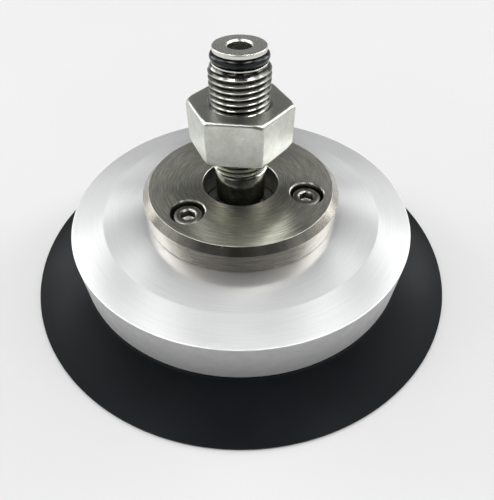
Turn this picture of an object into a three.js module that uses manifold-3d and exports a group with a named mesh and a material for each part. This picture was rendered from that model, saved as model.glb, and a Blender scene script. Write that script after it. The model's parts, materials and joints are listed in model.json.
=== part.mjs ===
import * as THREE from "three";
import { mergeVertices } from "three/addons/utils/BufferGeometryUtils.js";
import Module from "manifold-3d";

// Vacuum suction cup: a wide flat rubber pad under an aluminium plate, and a hollow stem
// whose ball turns and tilts between two seats in the plate. Millimetres, +Z up. The origin
// is on the axis of the plate, on the surface that the pad's lip rests on.

// Facets round a turned piece, by size.
const LARGE_SIDES = 48;
const MEDIUM_SIDES = 32;
const SMALL_SIDES = 16;
const SPRING_SIDES = 36;
const SCREEN_HOLE_SIDES = 8;
const SEAL_SECTION_SIDES = 6;
const ARC_STEPS = 5;

// Gap between two pieces that touch on the real object, and the broken edge of small pieces.
const GAP = 0.3;
const EDGE = 0.3;

// How far a cutter runs past the face that it opens.
const PAST = 1;

// Rubber pad.
const LIP_RADIUS = 68.3;
const LIP_FACE_WIDTH = 1.4;
const LIP_EDGE_HEIGHT = 0.6;
const PAD_RADIUS = 52.4;
const PAD_TOP = 9.1;
const PAD_UNDERSIDE = 6.2;
const PAD_CLAMPED_UNDERSIDE = 7.2;
const PAD_CLAMPED_RADIUS = 31;
const PAD_FLAT_RADIUS = 47.5;
const OUTER_LIP_BEND = [60, 2.2];
const INNER_LIP_BEND = [53.5, 1.5];
const CLEAT_RADII = [34, 39.5, 45];
const CLEAT_WIDTH = 2;
const CLEAT_BOTTOM = 4.5;

// Aluminium plate, with a skirt round the pad's rim.
const PLATE_RADIUS = 52.8;
const PLATE_BOTTOM = PAD_TOP + GAP;
const SKIRT_INNER_RADIUS = 50;
const SKIRT_BOTTOM = 6.7;
const PLATE_TOP = 21.5;
const PLATE_BEVEL_RADIUS = 43.1;
const PLATE_BEVEL_DROP = 1.1;
const PLATE_EDGE_CHAMFER = 0.8;
const PLATE_FOOT_CHAMFER = 0.4;
const BOSS_RADIUS = 18;
const BOSS_BOTTOM = 5;
const POCKET_RADIUS = 14;
const POCKET_FLOOR = 8;
const VACUUM_HOLE_RADIUS = 5;
const SCREEN_RECESS_RADIUS = 7;
const SCREEN_RECESS_TOP = 6.2;
const SEAL_GROOVE_RADII = [15, 17];
const SEAL_GROOVE_FLOOR = 19.4;

// Steel ring that holds the ball in.
const RING_RADIUS = 30;
const RING_BORE = 11.5;
const RING_SEAM = 0.1;
const RING_BOTTOM = PLATE_TOP + RING_SEAM;
const RING_TOP = 29.7;
const RING_CHAMFER = 2;
const RING_BORE_CHAMFER = 0.6;

// M5 socket head cap screws in the ring.
const CAP_SCREWS = 3;
const CAP_SCREW_FIRST_ANGLE = 102.8;
const CAP_SCREW_CIRCLE = 20.6;
const CAP_HEAD_RADIUS = 4.25;
const CAP_HEAD_SUNK = 1.2;
const CAP_HEAD_TOP = RING_TOP - CAP_HEAD_SUNK;
const CAP_HEAD_HEIGHT = 5;
const CAP_SHANK_RADIUS = 2.5;
const CAP_SHANK_LENGTH = 12;
const CAP_SOCKET_FLATS = 4;
const CAP_SOCKET_DEPTH = 2.5;
const CAP_HOLE_RADIUS = 2.8;
const COUNTERBORE_RADIUS = 5;

// Steel disc that clamps the pad, with M4 countersunk screws.
const HOLDER_RADIUS = 30;
const HOLDER_TOP = PAD_CLAMPED_UNDERSIDE - GAP;
const HOLDER_BOTTOM = 4.7;
const FLAT_SCREWS = 6;
const FLAT_SCREW_FIRST_ANGLE = CAP_SCREW_FIRST_ANGLE + 30;
const FLAT_SCREW_CIRCLE = 24.2;
const FLAT_HEAD_RADIUS = 3.7;
const FLAT_HEAD_RIM = 0.2;
const FLAT_HEAD_HEIGHT = 1.9;
const FLAT_SHANK_RADIUS = 2;
const FLAT_SCREW_TOP = 15.5;
const FLAT_HOLE_RADIUS = 2.3;
const FLAT_SOCKET_FLATS = 2.5;
const FLAT_SOCKET_DEPTH = 1.4;

// Ball and its seats.
const BALL_CENTRE = 17;
const BALL_RADIUS = 8.5;
const BALL_CUT = 7.5;
const SEAT_RECESS_RADIUS = 8.75;
const UPPER_SEAT_RADIUS = POCKET_RADIUS - GAP;
const UPPER_SEAT_TOP = RING_BOTTOM - GAP;
const LOWER_SEAT_RADIUS = 13.6;
const LOWER_SEAT_BOTTOM = 9.9;
const BALL_SEAL_RECESS = [10.95, 14.7];
const SEAT_SEAL_GROOVE = { radius: 12, low: 12.2, high: 14.2 };

// Round seals: radius of the ring, radius of its section, and height of its middle.
const BALL_SEAL = [9.8, 0.8, 15.85];
const SEAT_SEAL = [13.05, 0.7, 13.2];
const RING_SEAL = [16, 0.75, 20.35];
const STEM_SEAL = [6.4, 0.95, 67];

// Wave washer under the lower seat.
const SPRING_RADII = [9.5, 12.8];
const SPRING_MIDDLE = 8.95;
const SPRING_THICKNESS = 0.4;
const SPRING_WAVES = 3;
const SPRING_RISE = 0.42;

// Screen in the vacuum hole.
const SCREEN_RADIUS = 6.6;
const SCREEN_BOTTOM = 5.4;
const SCREEN_TOP = 5.9;
const SCREEN_HOLE_RADIUS = 0.9;
const SCREEN_HOLE_CIRCLE = 3;
const SCREEN_HOLES_ROUND = 6;

// Stem above the ball.
const BORE_RADIUS = 3;
const BORE_CHAMFER = 0.5;
const NECK_RADIUS = 5;
const NECK_TOP = 24.2;
const SHANK_RADIUS = 7.5;
const SHANK_BOTTOM = 25.4;
const THREAD_RADIUS = 8;
const THREAD_BOTTOM = 35.2;
const THREAD_TOP = 64.3;
const THREAD_LEAD_RADIUS = 7.1;
const GROOVE_RADIUS = 5.2;
const GROOVE_BOTTOM = 65.8;
const COLLAR_RADIUS = 6.7;
const COLLAR_BOTTOM = 68.2;
const COLLAR_CHAMFER = 0.3;
const STEM_TOP = 69.3;

// Hexagon nut on the M16 thread.
const NUT_FLATS = 25.4;
const NUT_BOTTOM = 43.2;
const NUT_TOP = 55.5;
const NUT_TURN = -7.5;
const NUT_FACE_RADIUS = 13.4;
const NUT_CHAMFER_SLOPE = Math.tan(Math.PI / 6);
const NUT_CLEARANCE = 0.25;
const NUT_BORE = THREAD_RADIUS + NUT_CLEARANCE;
const NUT_COUNTERSINK = 0.7;

const ALUMINIUM = { color: 0xd9dadb, metalness: 1, roughness: 0.35 };
const RING_STEEL = { color: 0xa39c90, metalness: 1, roughness: 0.34 };
const STEM_STEEL = { color: 0xb9b6ae, metalness: 1, roughness: 0.25 };
const SCREW_STEEL = { color: 0x9d9a94, metalness: 1, roughness: 0.3 };
const ZINC = { color: 0xaab0ae, metalness: 1, roughness: 0.3 };
const BLACK_RUBBER = { color: 0x17181a, metalness: 0, roughness: 0.55 };
const SEAL_RUBBER = { color: 0x0e0e0f, metalness: 0, roughness: 0.35 };
const SEAT_PLASTIC = { color: 0x2a2a2b, metalness: 0, roughness: 0.5 };
const SPRING_STEEL = { color: 0x8f9092, metalness: 1, roughness: 0.35 };

const wasm = await Module();
wasm.setup();

// A closed mesh as a solid that can be joined and cut.
function solidOf(geometry) {
  const bare = geometry.clone();
  bare.deleteAttribute("normal");
  bare.deleteAttribute("uv");
  const merged = mergeVertices(bare);
  return new wasm.Manifold(
    new wasm.Mesh({
      numProp: 3,
      vertProperties: merged.attributes.position.array,
      triVerts: new Uint32Array(merged.index.array),
    }),
  );
}

function geometryOf(solid) {
  const { vertProperties, triVerts } = solid.getMesh();
  const geometry = new THREE.BufferGeometry();
  geometry.setAttribute("position", new THREE.BufferAttribute(vertProperties, 3));
  geometry.setIndex(new THREE.BufferAttribute(triVerts, 1));
  geometry.computeVertexNormals();
  return geometry;
}

function cut(geometry, cutters) {
  let solid = solidOf(geometry);
  for (const cutter of cutters) {
    solid = solid.subtract(solidOf(cutter));
  }
  return geometryOf(solid);
}

// Turns a profile of [radius, height] points round the axis. The profile runs anticlockwise,
// up the outside, and it closes on itself unless it starts and ends on the axis.
function turned(profile, sides) {
  const onAxis = profile[0][0] === 0;
  const outline = onAxis ? profile : [...profile, profile[0]];
  const points = outline.map(([radius, height]) => new THREE.Vector2(radius, height));
  return new THREE.LatheGeometry(points, sides).rotateX(Math.PI / 2);
}

function cylinder(radius, low, high, sides = SMALL_SIDES) {
  return new THREE.CylinderGeometry(radius, radius, high - low, sides)
    .rotateX(Math.PI / 2)
    .translate(0, 0, (low + high) / 2);
}

function hexagon(flats, low, high) {
  const sides = 6;
  return cylinder(flats / Math.sqrt(3), low, high, sides);
}

function roundSeal([radius, sectionRadius, height]) {
  const ring = new THREE.TorusGeometry(radius, sectionRadius, SEAL_SECTION_SIDES, MEDIUM_SIDES);
  return ring.translate(0, 0, height);
}

// Points of a curve that leaves one point and meets another, pulled towards a third.
function bend(from, towards, to) {
  const corners = [from, towards, to].map((point) => new THREE.Vector2(...point));
  const curve = new THREE.QuadraticBezierCurve(...corners);
  return curve.getPoints(ARC_STEPS).map((p) => [p.x, p.y]);
}

// Points on a sphere round the ball's centre, between two heights above it.
function sphereArc(radius, fromHeight, toHeight) {
  const from = Math.asin(fromHeight / radius);
  const to = Math.asin(toHeight / radius);
  return Array.from({ length: ARC_STEPS + 1 }, (_, step) => {
    const angle = from + ((to - from) * step) / ARC_STEPS;
    return [radius * Math.cos(angle), BALL_CENTRE + radius * Math.sin(angle)];
  });
}

// Centres of holes or screws spread evenly on a circle.
function spread(count, circle, firstAngle) {
  return Array.from({ length: count }, (_, index) => {
    const angle = THREE.MathUtils.degToRad(firstAngle + (360 / count) * index);
    return [circle * Math.cos(angle), circle * Math.sin(angle)];
  });
}

const capScrewPlaces = spread(CAP_SCREWS, CAP_SCREW_CIRCLE, CAP_SCREW_FIRST_ANGLE);
const flatScrewPlaces = spread(FLAT_SCREWS, FLAT_SCREW_CIRCLE, FLAT_SCREW_FIRST_ANGLE);

const cup = new THREE.Group();

function addPiece(name, geometry, material, parent = cup) {
  const mesh = new THREE.Mesh(geometry, new THREE.MeshStandardMaterial(material));
  mesh.name = name;
  parent.add(mesh);
  return mesh;
}

function suctionPad() {
  const cleats = CLEAT_RADII.flatMap((inner) => [
    [inner, PAD_UNDERSIDE],
    [inner, CLEAT_BOTTOM],
    [inner + CLEAT_WIDTH, CLEAT_BOTTOM],
    [inner + CLEAT_WIDTH, PAD_UNDERSIDE],
  ]);
  const faceInnerRadius = LIP_RADIUS - LIP_FACE_WIDTH;
  const inside = bend([PAD_FLAT_RADIUS, PAD_UNDERSIDE], INNER_LIP_BEND, [faceInnerRadius, 0]);
  const rimTop = SKIRT_BOTTOM - GAP;
  const rimInnerRadius = SKIRT_INNER_RADIUS - GAP;
  const outside = bend([LIP_RADIUS, LIP_EDGE_HEIGHT], OUTER_LIP_BEND, [PAD_RADIUS, rimTop]);
  const innerRadius = BOSS_RADIUS + GAP;
  const profile = [
    [innerRadius, PAD_CLAMPED_UNDERSIDE],
    [PAD_CLAMPED_RADIUS, PAD_CLAMPED_UNDERSIDE],
    [PAD_CLAMPED_RADIUS, PAD_UNDERSIDE],
    ...cleats,
    ...inside,
    [LIP_RADIUS, 0],
    ...outside,
    [rimInnerRadius, rimTop],
    [rimInnerRadius, PAD_TOP],
    [innerRadius, PAD_TOP],
  ];
  const holes = flatScrewPlaces.map(([x, y]) =>
    cylinder(FLAT_HOLE_RADIUS, 0, PLATE_BOTTOM).translate(x, y, 0),
  );
  return cut(turned(profile, LARGE_SIDES), holes);
}

function adapterPlate() {
  const [grooveInside, grooveOutside] = SEAL_GROOVE_RADII;
  const edgeTop = PLATE_TOP - PLATE_BEVEL_DROP;
  const profile = [
    [VACUUM_HOLE_RADIUS, SCREEN_RECESS_TOP],
    [SCREEN_RECESS_RADIUS, SCREEN_RECESS_TOP],
    [SCREEN_RECESS_RADIUS, BOSS_BOTTOM],
    [BOSS_RADIUS, BOSS_BOTTOM],
    [BOSS_RADIUS, PLATE_BOTTOM],
    [SKIRT_INNER_RADIUS, PLATE_BOTTOM],
    [SKIRT_INNER_RADIUS, SKIRT_BOTTOM],
    [PLATE_RADIUS - PLATE_FOOT_CHAMFER, SKIRT_BOTTOM],
    [PLATE_RADIUS, SKIRT_BOTTOM + PLATE_FOOT_CHAMFER],
    [PLATE_RADIUS, edgeTop - PLATE_EDGE_CHAMFER],
    [PLATE_RADIUS - PLATE_EDGE_CHAMFER, edgeTop],
    [PLATE_BEVEL_RADIUS, PLATE_TOP],
    [grooveOutside, PLATE_TOP],
    [grooveOutside, SEAL_GROOVE_FLOOR],
    [grooveInside, SEAL_GROOVE_FLOOR],
    [grooveInside, PLATE_TOP],
    [POCKET_RADIUS, PLATE_TOP],
    [POCKET_RADIUS, POCKET_FLOOR],
    [VACUUM_HOLE_RADIUS, POCKET_FLOOR],
  ];
  const capHoleFloor = CAP_HEAD_TOP - CAP_HEAD_HEIGHT - CAP_SHANK_LENGTH - PAST;
  const capHoles = capScrewPlaces.map(([x, y]) =>
    cylinder(CAP_HOLE_RADIUS, capHoleFloor, RING_TOP).translate(x, y, 0),
  );
  const flatHoles = flatScrewPlaces.map(([x, y]) =>
    cylinder(FLAT_HOLE_RADIUS, HOLDER_BOTTOM, FLAT_SCREW_TOP + PAST).translate(x, y, 0),
  );
  return cut(turned(profile, LARGE_SIDES), [...capHoles, ...flatHoles]);
}

function retainerRing() {
  const profile = [
    [RING_BORE, RING_BOTTOM],
    [RING_RADIUS, RING_BOTTOM],
    [RING_RADIUS, RING_TOP - RING_CHAMFER],
    [RING_RADIUS - RING_CHAMFER, RING_TOP],
    [RING_BORE + RING_BORE_CHAMFER, RING_TOP],
    [RING_BORE, RING_TOP - RING_BORE_CHAMFER],
  ];
  const counterboreFloor = CAP_HEAD_TOP - CAP_HEAD_HEIGHT - GAP;
  const holes = capScrewPlaces.flatMap(([x, y]) => [
    cylinder(CAP_HOLE_RADIUS, PLATE_BOTTOM, RING_TOP).translate(x, y, 0),
    cylinder(COUNTERBORE_RADIUS, counterboreFloor, RING_TOP + PAST, MEDIUM_SIDES).translate(x, y, 0),
  ]);
  return cut(turned(profile, LARGE_SIDES), holes);
}

function capScrew() {
  const underHead = CAP_HEAD_TOP - CAP_HEAD_HEIGHT;
  const profile = [
    [0, underHead - CAP_SHANK_LENGTH],
    [CAP_SHANK_RADIUS - EDGE, underHead - CAP_SHANK_LENGTH],
    [CAP_SHANK_RADIUS, underHead - CAP_SHANK_LENGTH + EDGE],
    [CAP_SHANK_RADIUS, underHead],
    [CAP_HEAD_RADIUS, underHead],
    [CAP_HEAD_RADIUS, CAP_HEAD_TOP - EDGE],
    [CAP_HEAD_RADIUS - EDGE, CAP_HEAD_TOP],
    [0, CAP_HEAD_TOP],
  ];
  const socket = hexagon(CAP_SOCKET_FLATS, CAP_HEAD_TOP - CAP_SOCKET_DEPTH, CAP_HEAD_TOP + PAST);
  return cut(turned(profile, SMALL_SIDES), [socket]);
}

// A countersunk screw's outline from below its head, grown by a margin. The screw itself has
// no margin, and the hole for it in the clamping disc has one.
function flatScrewProfile(margin, bottom, top) {
  const neck = FLAT_SHANK_RADIUS + margin;
  return [
    [0, bottom],
    [FLAT_HEAD_RADIUS + margin, bottom],
    [FLAT_HEAD_RADIUS + margin, HOLDER_BOTTOM + FLAT_HEAD_RIM],
    [neck, HOLDER_BOTTOM + FLAT_HEAD_HEIGHT],
    [neck, top],
    [0, top],
  ];
}

function holderPlate() {
  const innerRadius = BOSS_RADIUS + GAP;
  const profile = [
    [innerRadius, HOLDER_BOTTOM],
    [HOLDER_RADIUS - EDGE, HOLDER_BOTTOM],
    [HOLDER_RADIUS, HOLDER_BOTTOM + EDGE],
    [HOLDER_RADIUS, HOLDER_TOP],
    [innerRadius, HOLDER_TOP],
  ];
  const hole = flatScrewProfile(GAP, HOLDER_BOTTOM - PAST, HOLDER_TOP + PAST);
  const holes = flatScrewPlaces.map(([x, y]) => turned(hole, SMALL_SIDES).translate(x, y, 0));
  return cut(turned(profile, LARGE_SIDES), holes);
}

function flatScrew() {
  const profile = flatScrewProfile(0, HOLDER_BOTTOM, FLAT_SCREW_TOP);
  const socket = hexagon(FLAT_SOCKET_FLATS, HOLDER_BOTTOM - PAST, HOLDER_BOTTOM + FLAT_SOCKET_DEPTH);
  return cut(turned(profile, SMALL_SIDES), [socket]);
}

function upperSeat() {
  const bottom = BALL_CENTRE + GAP;
  const recess = sphereArc(SEAT_RECESS_RADIUS, GAP, UPPER_SEAT_TOP - BALL_CENTRE).reverse();
  const outside = [[UPPER_SEAT_RADIUS, bottom], [UPPER_SEAT_RADIUS, UPPER_SEAT_TOP]];
  return turned([...outside, ...recess], MEDIUM_SIDES);
}

function lowerSeat() {
  const top = BALL_CENTRE - GAP;
  const [rebateRadius, rebateFloor] = BALL_SEAL_RECESS;
  const recessLow = LOWER_SEAT_BOTTOM - BALL_CENTRE;
  const recess = sphereArc(SEAT_RECESS_RADIUS, recessLow, rebateFloor - BALL_CENTRE);
  const profile = [
    [LOWER_SEAT_RADIUS, LOWER_SEAT_BOTTOM],
    [LOWER_SEAT_RADIUS, SEAT_SEAL_GROOVE.low],
    [SEAT_SEAL_GROOVE.radius, SEAT_SEAL_GROOVE.low],
    [SEAT_SEAL_GROOVE.radius, SEAT_SEAL_GROOVE.high],
    [LOWER_SEAT_RADIUS, SEAT_SEAL_GROOVE.high],
    [LOWER_SEAT_RADIUS, top],
    [rebateRadius, top],
    [rebateRadius, rebateFloor],
    ...recess.reverse(),
  ];
  return turned(profile, MEDIUM_SIDES);
}

function waveSpring() {
  const [inner, outer] = SPRING_RADII;
  const low = SPRING_MIDDLE - SPRING_THICKNESS / 2;
  const high = SPRING_MIDDLE + SPRING_THICKNESS / 2;
  const geometry = turned([[inner, low], [outer, low], [outer, high], [inner, high]], SPRING_SIDES);
  const position = geometry.attributes.position;
  for (let i = 0; i < position.count; i += 1) {
    const angle = Math.atan2(position.getY(i), position.getX(i));
    position.setZ(i, position.getZ(i) + SPRING_RISE * Math.sin(SPRING_WAVES * angle));
  }
  return geometry;
}

function filterScreen() {
  const disc = cylinder(SCREEN_RADIUS, SCREEN_BOTTOM, SCREEN_TOP, MEDIUM_SIDES);
  const places = [[0, 0], ...spread(SCREEN_HOLES_ROUND, SCREEN_HOLE_CIRCLE, 0)];
  const holes = places.map(([x, y]) =>
    cylinder(SCREEN_HOLE_RADIUS, BOSS_BOTTOM, SCREEN_RECESS_TOP, SCREEN_HOLE_SIDES).translate(x, y, 0),
  );
  return cut(disc, holes);
}

function ballStem() {
  const neckHeight = Math.sqrt(BALL_RADIUS ** 2 - NECK_RADIUS ** 2);
  const threadStart = THREAD_RADIUS - SHANK_RADIUS;
  return turned(
    [
      [BORE_RADIUS + BORE_CHAMFER, BALL_CENTRE - BALL_CUT],
      ...sphereArc(BALL_RADIUS, -BALL_CUT, neckHeight),
      [NECK_RADIUS, NECK_TOP],
      [SHANK_RADIUS, SHANK_BOTTOM],
      [SHANK_RADIUS, THREAD_BOTTOM],
      [THREAD_RADIUS, THREAD_BOTTOM + threadStart],
      [THREAD_RADIUS, THREAD_TOP],
      [THREAD_LEAD_RADIUS, GROOVE_BOTTOM - GAP],
      [THREAD_LEAD_RADIUS, GROOVE_BOTTOM],
      [GROOVE_RADIUS, GROOVE_BOTTOM],
      [GROOVE_RADIUS, COLLAR_BOTTOM],
      [COLLAR_RADIUS, COLLAR_BOTTOM],
      [COLLAR_RADIUS, STEM_TOP - COLLAR_CHAMFER],
      [COLLAR_RADIUS - COLLAR_CHAMFER, STEM_TOP],
      [BORE_RADIUS + BORE_CHAMFER, STEM_TOP],
      [BORE_RADIUS, STEM_TOP - BORE_CHAMFER],
      [BORE_RADIUS, BALL_CENTRE - BALL_CUT + BORE_CHAMFER],
    ],
    MEDIUM_SIDES,
  );
}

function lockNut() {
  const cornerRadius = NUT_FLATS / Math.sqrt(3) + PAST;
  const sinkRadius = NUT_BORE + NUT_COUNTERSINK + PAST;
  const chamferDepth = (cornerRadius - NUT_FACE_RADIUS) * NUT_CHAMFER_SLOPE;
  const chamfered = turned(
    [
      [0, NUT_BOTTOM],
      [NUT_FACE_RADIUS, NUT_BOTTOM],
      [cornerRadius, NUT_BOTTOM + chamferDepth],
      [cornerRadius, NUT_TOP - chamferDepth],
      [NUT_FACE_RADIUS, NUT_TOP],
      [0, NUT_TOP],
    ],
    LARGE_SIDES,
  );
  const bore = turned(
    [
      [0, NUT_BOTTOM - PAST],
      [sinkRadius, NUT_BOTTOM - PAST],
      [NUT_BORE, NUT_BOTTOM + NUT_COUNTERSINK],
      [NUT_BORE, NUT_TOP - NUT_COUNTERSINK],
      [sinkRadius, NUT_TOP + PAST],
      [0, NUT_TOP + PAST],
    ],
    MEDIUM_SIDES,
  );
  // A six-sided cylinder has a corner at -Y, so a quarter turn puts one on +X first.
  const hexagonal = hexagon(NUT_FLATS, NUT_BOTTOM - PAST, NUT_TOP + PAST)
    .rotateZ(THREE.MathUtils.degToRad(90 + NUT_TURN));
  return geometryOf(solidOf(hexagonal).intersect(solidOf(chamfered)).subtract(solidOf(bore)));
}

addPiece("suction_pad", suctionPad(), BLACK_RUBBER);
addPiece("adapter_plate", adapterPlate(), ALUMINIUM);
addPiece("retainer_ring", retainerRing(), RING_STEEL);
addPiece("holder_plate", holderPlate(), SCREW_STEEL);
capScrewPlaces.forEach(([x, y], index) => {
  addPiece(`retainer_screw_${index + 1}`, capScrew(), SCREW_STEEL).position.set(x, y, 0);
});
flatScrewPlaces.forEach(([x, y], index) => {
  addPiece(`holder_screw_${index + 1}`, flatScrew(), SCREW_STEEL).position.set(x, y, 0);
});
addPiece("upper_seat", upperSeat(), SEAT_PLASTIC);
addPiece("lower_seat", lowerSeat(), SEAT_PLASTIC);
addPiece("ball_seal", roundSeal(BALL_SEAL), SEAL_RUBBER);
addPiece("seat_seal", roundSeal(SEAT_SEAL), SEAL_RUBBER);
addPiece("ring_seal", roundSeal(RING_SEAL), SEAL_RUBBER);
addPiece("wave_spring", waveSpring(), SPRING_STEEL);
addPiece("filter_screen", filterScreen(), SPRING_STEEL);
addPiece("ball_stem", ballStem(), STEM_STEEL);
addPiece("stem_o_ring", roundSeal(STEM_SEAL), SEAL_RUBBER);
addPiece("lock_nut", lockNut(), ZINC);

export default cup;
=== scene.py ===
import json
import math

import bmesh
import bpy
from mathutils import Matrix, Vector

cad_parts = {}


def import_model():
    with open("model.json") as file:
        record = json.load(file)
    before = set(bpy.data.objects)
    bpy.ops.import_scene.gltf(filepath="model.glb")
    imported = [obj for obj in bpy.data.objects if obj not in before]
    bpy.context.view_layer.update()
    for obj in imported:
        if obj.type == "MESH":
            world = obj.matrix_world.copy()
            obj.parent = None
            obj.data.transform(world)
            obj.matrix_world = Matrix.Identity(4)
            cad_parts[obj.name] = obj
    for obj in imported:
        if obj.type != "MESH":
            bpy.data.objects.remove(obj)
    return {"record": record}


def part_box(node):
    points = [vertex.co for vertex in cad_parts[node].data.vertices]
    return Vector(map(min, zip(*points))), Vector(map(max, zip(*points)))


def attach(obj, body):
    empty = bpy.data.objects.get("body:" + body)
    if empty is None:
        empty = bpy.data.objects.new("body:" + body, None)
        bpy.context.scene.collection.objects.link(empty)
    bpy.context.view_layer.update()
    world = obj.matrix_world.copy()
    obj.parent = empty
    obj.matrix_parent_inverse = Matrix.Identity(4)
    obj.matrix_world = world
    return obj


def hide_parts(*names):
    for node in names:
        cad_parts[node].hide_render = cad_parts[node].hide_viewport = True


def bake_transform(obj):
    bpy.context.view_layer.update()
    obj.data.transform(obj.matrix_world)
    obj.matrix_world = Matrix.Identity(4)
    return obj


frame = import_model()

# The suction cup's fine surfaces, materials, light and camera. Profiles are lists of
# (radius, height) in millimetres, run anticlockwise, and a third number rounds a corner.

MM = 0.001
TURN = 2 * math.pi
MERGE_DISTANCE = 0.002
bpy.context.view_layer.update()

RECORD = frame["record"]
BODY_OF = {node: body for body, nodes in RECORD["behaviour"]["bodies"].items() for node in nodes}

# The stem's thread and the ball, which several pieces fit round.
PITCH = 1.5
THREAD_RADIUS = 8.0
THREAD_ROOT = 7.1
BALL_CENTRE = 17.0
BALL_RADIUS = 8.5


def low(node):
    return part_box(node)[0].z / MM


def high(node):
    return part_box(node)[1].z / MM


def outer(node):
    low_corner, high_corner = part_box(node)
    return (high_corner.x - low_corner.x) / 2 / MM


def centre_of(node):
    low_corner, high_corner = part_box(node)
    return (low_corner + high_corner) / 2


# ---------------------------------------------------------------- mesh tools


def even(count):
    """Angles round a full turn, with the last on the first."""
    return [TURN * step / count for step in range(count + 1)]


def rounded(profile, closed=True, step=math.radians(18)):
    """Replaces each corner that names a rounding radius with an arc."""
    made = []
    count = len(profile)
    for index, corner in enumerate(profile):
        at_end = not closed and index in (0, count - 1)
        if len(corner) < 3 or at_end:
            made.append(corner[:2])
            continue
        here = Vector(corner[:2])
        before = (Vector(profile[index - 1][:2]) - here).normalized()
        after = (Vector(profile[(index + 1) % count][:2]) - here).normalized()
        half = before.angle(after) / 2
        back = corner[2] / math.tan(half)
        hub = here + (before + after).normalized() * corner[2] / math.sin(half)
        start = here + before * back - hub
        end = here + after * back - hub
        swing = start.angle_signed(end)
        steps = max(2, math.ceil(abs(swing) / step))
        for part in range(steps + 1):
            made.append(tuple(hub + Matrix.Rotation(-swing * part / steps, 2) @ start))
    return made


def bend(start, towards, end):
    """Points of a curve from start to end, pulled towards a third point."""
    steps = 14
    points = []
    for step in range(steps + 1):
        t = step / steps
        pulls = (((1 - t) ** 2, start), (2 * t * (1 - t), towards), (t**2, end))
        points.append(tuple(sum(pull * point[axis] for pull, point in pulls) for axis in (0, 1)))
    return points


def arc(radius, height, start, end, steps=16):
    """Points on a circle about (0, height), between two angles from the horizontal in degrees."""
    angles = [math.radians(start + (end - start) * step / steps) for step in range(steps + 1)]
    return [(radius * math.cos(a), height + radius * math.sin(a)) for a in angles]


def smooth(piece, angle=32):
    mesh = piece.data
    mesh.polygons.foreach_set("use_smooth", [True] * len(mesh.polygons))
    mesh.set_sharp_from_angle(angle=math.radians(angle))
    return piece


def from_bmesh(name, built):
    mesh = bpy.data.meshes.new(name)
    built.to_mesh(mesh)
    built.free()
    piece = bpy.data.objects.new(name, mesh)
    bpy.context.scene.collection.objects.link(piece)
    return piece


def wrap(name, rows, angles, closed=True):
    """Skins rows round the Z axis, with angle 0 at the front.

    A row is a (radius, height), or a function of the angle that gives one.
    """
    built = bmesh.new()
    grid = []
    for row in rows:
        line = []
        for angle in angles:
            radius, height = row(angle) if callable(row) else row
            x = radius * math.sin(angle)
            y = -radius * math.cos(angle)
            line.append(built.verts.new((x * MM, y * MM, height * MM)))
        grid.append(line)
    if closed:
        grid.append(grid[0])
    for lower, upper in zip(grid, grid[1:]):
        for left in range(len(angles) - 1):
            built.faces.new((lower[left], lower[left + 1], upper[left + 1], upper[left]))
    bmesh.ops.remove_doubles(built, verts=built.verts, dist=MERGE_DISTANCE * MM)
    bmesh.ops.recalc_face_normals(built, faces=built.faces)
    return smooth(from_bmesh(name, built))


def turned(name, profile, sides=128, closed=True):
    """A lathe part, with its corners rounded."""
    return wrap(name, rounded(profile, closed), even(sides), closed)


def baked(piece):
    """Replaces a piece's mesh with what its modifiers make of it."""
    graph = bpy.context.evaluated_depsgraph_get()
    mesh = bpy.data.meshes.new_from_object(piece.evaluated_get(graph))
    piece.modifiers.clear()
    piece.data = mesh
    return piece


def carved(piece, cutters):
    """Cuts pieces away and removes the cutters."""
    for cutter in cutters:
        change = piece.modifiers.new("cut", "BOOLEAN")
        change.operation = "DIFFERENCE"
        change.solver = "EXACT"
        change.object = cutter
    baked(piece)
    for cutter in cutters:
        bpy.data.objects.remove(cutter)
    return smooth(piece)


def placed(piece, node, material):
    """Stands for a CAD node: same body and finish slot, and normals that keep flat faces flat."""
    if not piece.data.materials:
        piece.data.materials.append(material)
    piece.modifiers.new("flat faces", "WEIGHTED_NORMAL").keep_sharp = True
    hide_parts(node)
    if BODY_OF[node] != "pad":
        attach(piece, BODY_OF[node])
    return piece


def moved(piece, x, y):
    piece.data.transform(Matrix.Translation((x, y, 0)))
    return piece


def split_materials(piece, main, other, is_other):
    """Gives the faces that a test picks out the other material, and the rest the main one."""
    piece.data.materials.clear()
    piece.data.materials.append(main)
    piece.data.materials.append(other)
    for face in piece.data.polygons:
        face.material_index = 1 if is_other(face) else 0


# ---------------------------------------------------------------- materials


def add(tree, kind, inputs=None, **settings):
    """Adds a node. An input is a number, a colour or another node's socket."""
    made = tree.nodes.new(kind)
    for key, value in settings.items():
        setattr(made, key, value)
    for key, value in (inputs or {}).items():
        if isinstance(value, bpy.types.NodeSocket):
            tree.links.new(value, made.inputs[key])
        else:
            made.inputs[key].default_value = value
    return made


def started(name, **sockets):
    """A material with a principled shader and its constant sockets set."""
    material = bpy.data.materials.new(name)
    material.use_nodes = True
    shader = material.node_tree.nodes["Principled BSDF"]
    for socket, value in sockets.items():
        shader.inputs[socket.replace("_", " ")].default_value = value
    return material, material.node_tree, shader


def link(tree, output, shader, socket):
    tree.links.new(output, shader.inputs[socket])


def object_point(tree):
    return add(tree, "ShaderNodeTexCoord").outputs["Object"]


def combined(tree, operation, first, second):
    """Two values joined by an operation such as ADD."""
    return add(tree, "ShaderNodeMath", {0: first, 1: second}, operation=operation).outputs[0]


def from_axis(tree):
    """The way from the turning axis to the point, as a level vector."""
    settings = {0: object_point(tree), 1: (1, 1, 0)}
    return add(tree, "ShaderNodeVectorMath", settings, operation="MULTIPLY").outputs[0]


def axis_distance(tree):
    return add(tree, "ShaderNodeVectorMath", {0: from_axis(tree)}, operation="LENGTH").outputs["Value"]


def across_turning(tree):
    """Distance from the turning axis plus height, which changes across the tool marks."""
    height = add(tree, "ShaderNodeSeparateXYZ", {0: object_point(tree)}).outputs["Z"]
    return combined(tree, "ADD", axis_distance(tree), height)


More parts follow.
